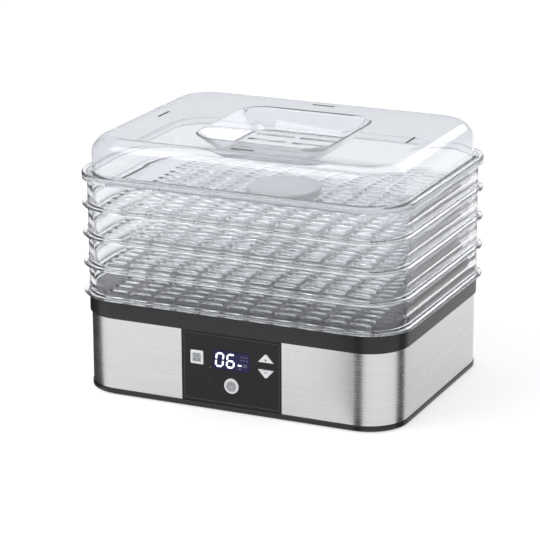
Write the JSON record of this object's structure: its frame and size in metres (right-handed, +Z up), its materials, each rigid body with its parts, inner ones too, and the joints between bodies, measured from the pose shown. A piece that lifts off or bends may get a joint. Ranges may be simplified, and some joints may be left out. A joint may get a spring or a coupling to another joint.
{
  "type": "food dehydrator",
  "caption": "Rectangular heated-fan base with a steel band and a digital panel, carrying clear stackable slotted trays and a clear domed lid with a sunken grip.",
  "frame": {"origin": "centre of the footprint, on the surface the feet stand on", "axes": "+Z up, +X to the right of the control panel, -Y towards the user; the panel faces -Y"},
  "size_m": [0.34, 0.26, 0.25],
  "materials": {
    "black_plastic": "satin moulded black plastic",
    "brushed_steel": "brushed along its length",
    "clear_plastic": "clear moulded plastic",
    "smoked_lens": "smoked clear plastic",
    "silver_button": "silver lacquer",
    "rubber": "matt",
    "circuit_board": "green solder mask",
    "zinc_plate": "zinc plated",
    "heater_wire": "oxidised resistance wire",
    "mica_sheet": "pressed mica",
    "white_plastic": "plain"
  },
  "bodies": {
    "base": {"base_pan": "black_plastic", "top_deck": "black_plastic", "control_fascia": "black_plastic", "relay": "black_plastic", "steel_wrap": "brushed_steel", "display_lens": "smoked_lens", "foot_1": "rubber", "foot_2": "rubber", "foot_3": "rubber", "foot_4": "rubber", "cord_gland": "rubber", "control_board": "circuit_board", "power_board": "circuit_board", "fan_motor": "zinc_plate", "motor_bracket": "zinc_plate", "fan_shroud": "zinc_plate", "thermostat": "zinc_plate", "motor_screw_1": "zinc_plate", "motor_screw_2": "zinc_plate", "base_screw_1": "zinc_plate", "base_screw_2": "zinc_plate", "base_screw_3": "zinc_plate", "base_screw_4": "zinc_plate", "base_screw_5": "zinc_plate", "base_screw_6": "zinc_plate", "board_screw_1": "zinc_plate", "board_screw_2": "zinc_plate", "board_screw_3": "zinc_plate", "board_screw_4": "zinc_plate", "heater_coil": "heater_wire", "heater_frame": "mica_sheet", "display_module": "white_plastic", "status_led": "white_plastic", "mode_switch": "white_plastic", "power_switch": "white_plastic", "up_switch": "white_plastic", "down_switch": "white_plastic", "thermal_fuse": "white_plastic", "temperature_sensor": "white_plastic", "filter_capacitor": "white_plastic", "terminal_block": "white_plastic"},
    "fan": {"fan_shaft": "zinc_plate", "fan_impeller": "black_plastic"},
    "mode_button_body": {"mode_button": "silver_button"},
    "power_button_body": {"power_button": "silver_button"},
    "up_button_body": {"up_button": "silver_button"},
    "down_button_body": {"down_button": "silver_button"},
    "tray_1_body": {"tray_1": "clear_plastic"},
    "tray_2_body": {"tray_2": "clear_plastic"},
    "tray_3_body": {"tray_3": "clear_plastic"},
    "tray_4_body": {"tray_4": "clear_plastic", "centre_cap": "clear_plastic"},
    "lid_body": {"lid": "clear_plastic"}
  },
  "joints": [
    {"name": "fan_spin", "type": "hinge", "parent": "base", "child": "fan", "pos_m": [0, 0, 0.0565], "axis": [0, 0, 1], "continuous": true},
    {"name": "mode_press", "type": "slide", "parent": "base", "child": "mode_button_body", "axis": [0, 1, 0], "range_m": [0, 0.0007], "stiffness_N_per_m": 600},
    {"name": "power_press", "type": "slide", "parent": "base", "child": "power_button_body", "axis": [0, 1, 0], "range_m": [0, 0.0007], "stiffness_N_per_m": 600},
    {"name": "up_press", "type": "slide", "parent": "base", "child": "up_button_body", "axis": [0, 1, 0], "range_m": [0, 0.0007], "stiffness_N_per_m": 600},
    {"name": "down_press", "type": "slide", "parent": "base", "child": "down_button_body", "axis": [0, 1, 0], "range_m": [0, 0.0007], "stiffness_N_per_m": 600},
    {"name": "tray_1_lift", "type": "slide", "parent": "base", "child": "tray_1_body", "axis": [0, 0, 1], "range_m": [0, 0.05]},
    {"name": "tray_2_lift", "type": "slide", "parent": "tray_1_body", "child": "tray_2_body", "axis": [0, 0, 1], "range_m": [0, 0.05]},
    {"name": "tray_3_lift", "type": "slide", "parent": "tray_2_body", "child": "tray_3_body", "axis": [0, 0, 1], "range_m": [0, 0.05]},
    {"name": "tray_4_lift", "type": "slide", "parent": "tray_3_body", "child": "tray_4_body", "axis": [0, 0, 1], "range_m": [0, 0.05]},
    {"name": "lid_lift", "type": "slide", "parent": "tray_4_body", "child": "lid_body", "axis": [0, 0, 1], "range_m": [0, 0.08]}
  ]
}
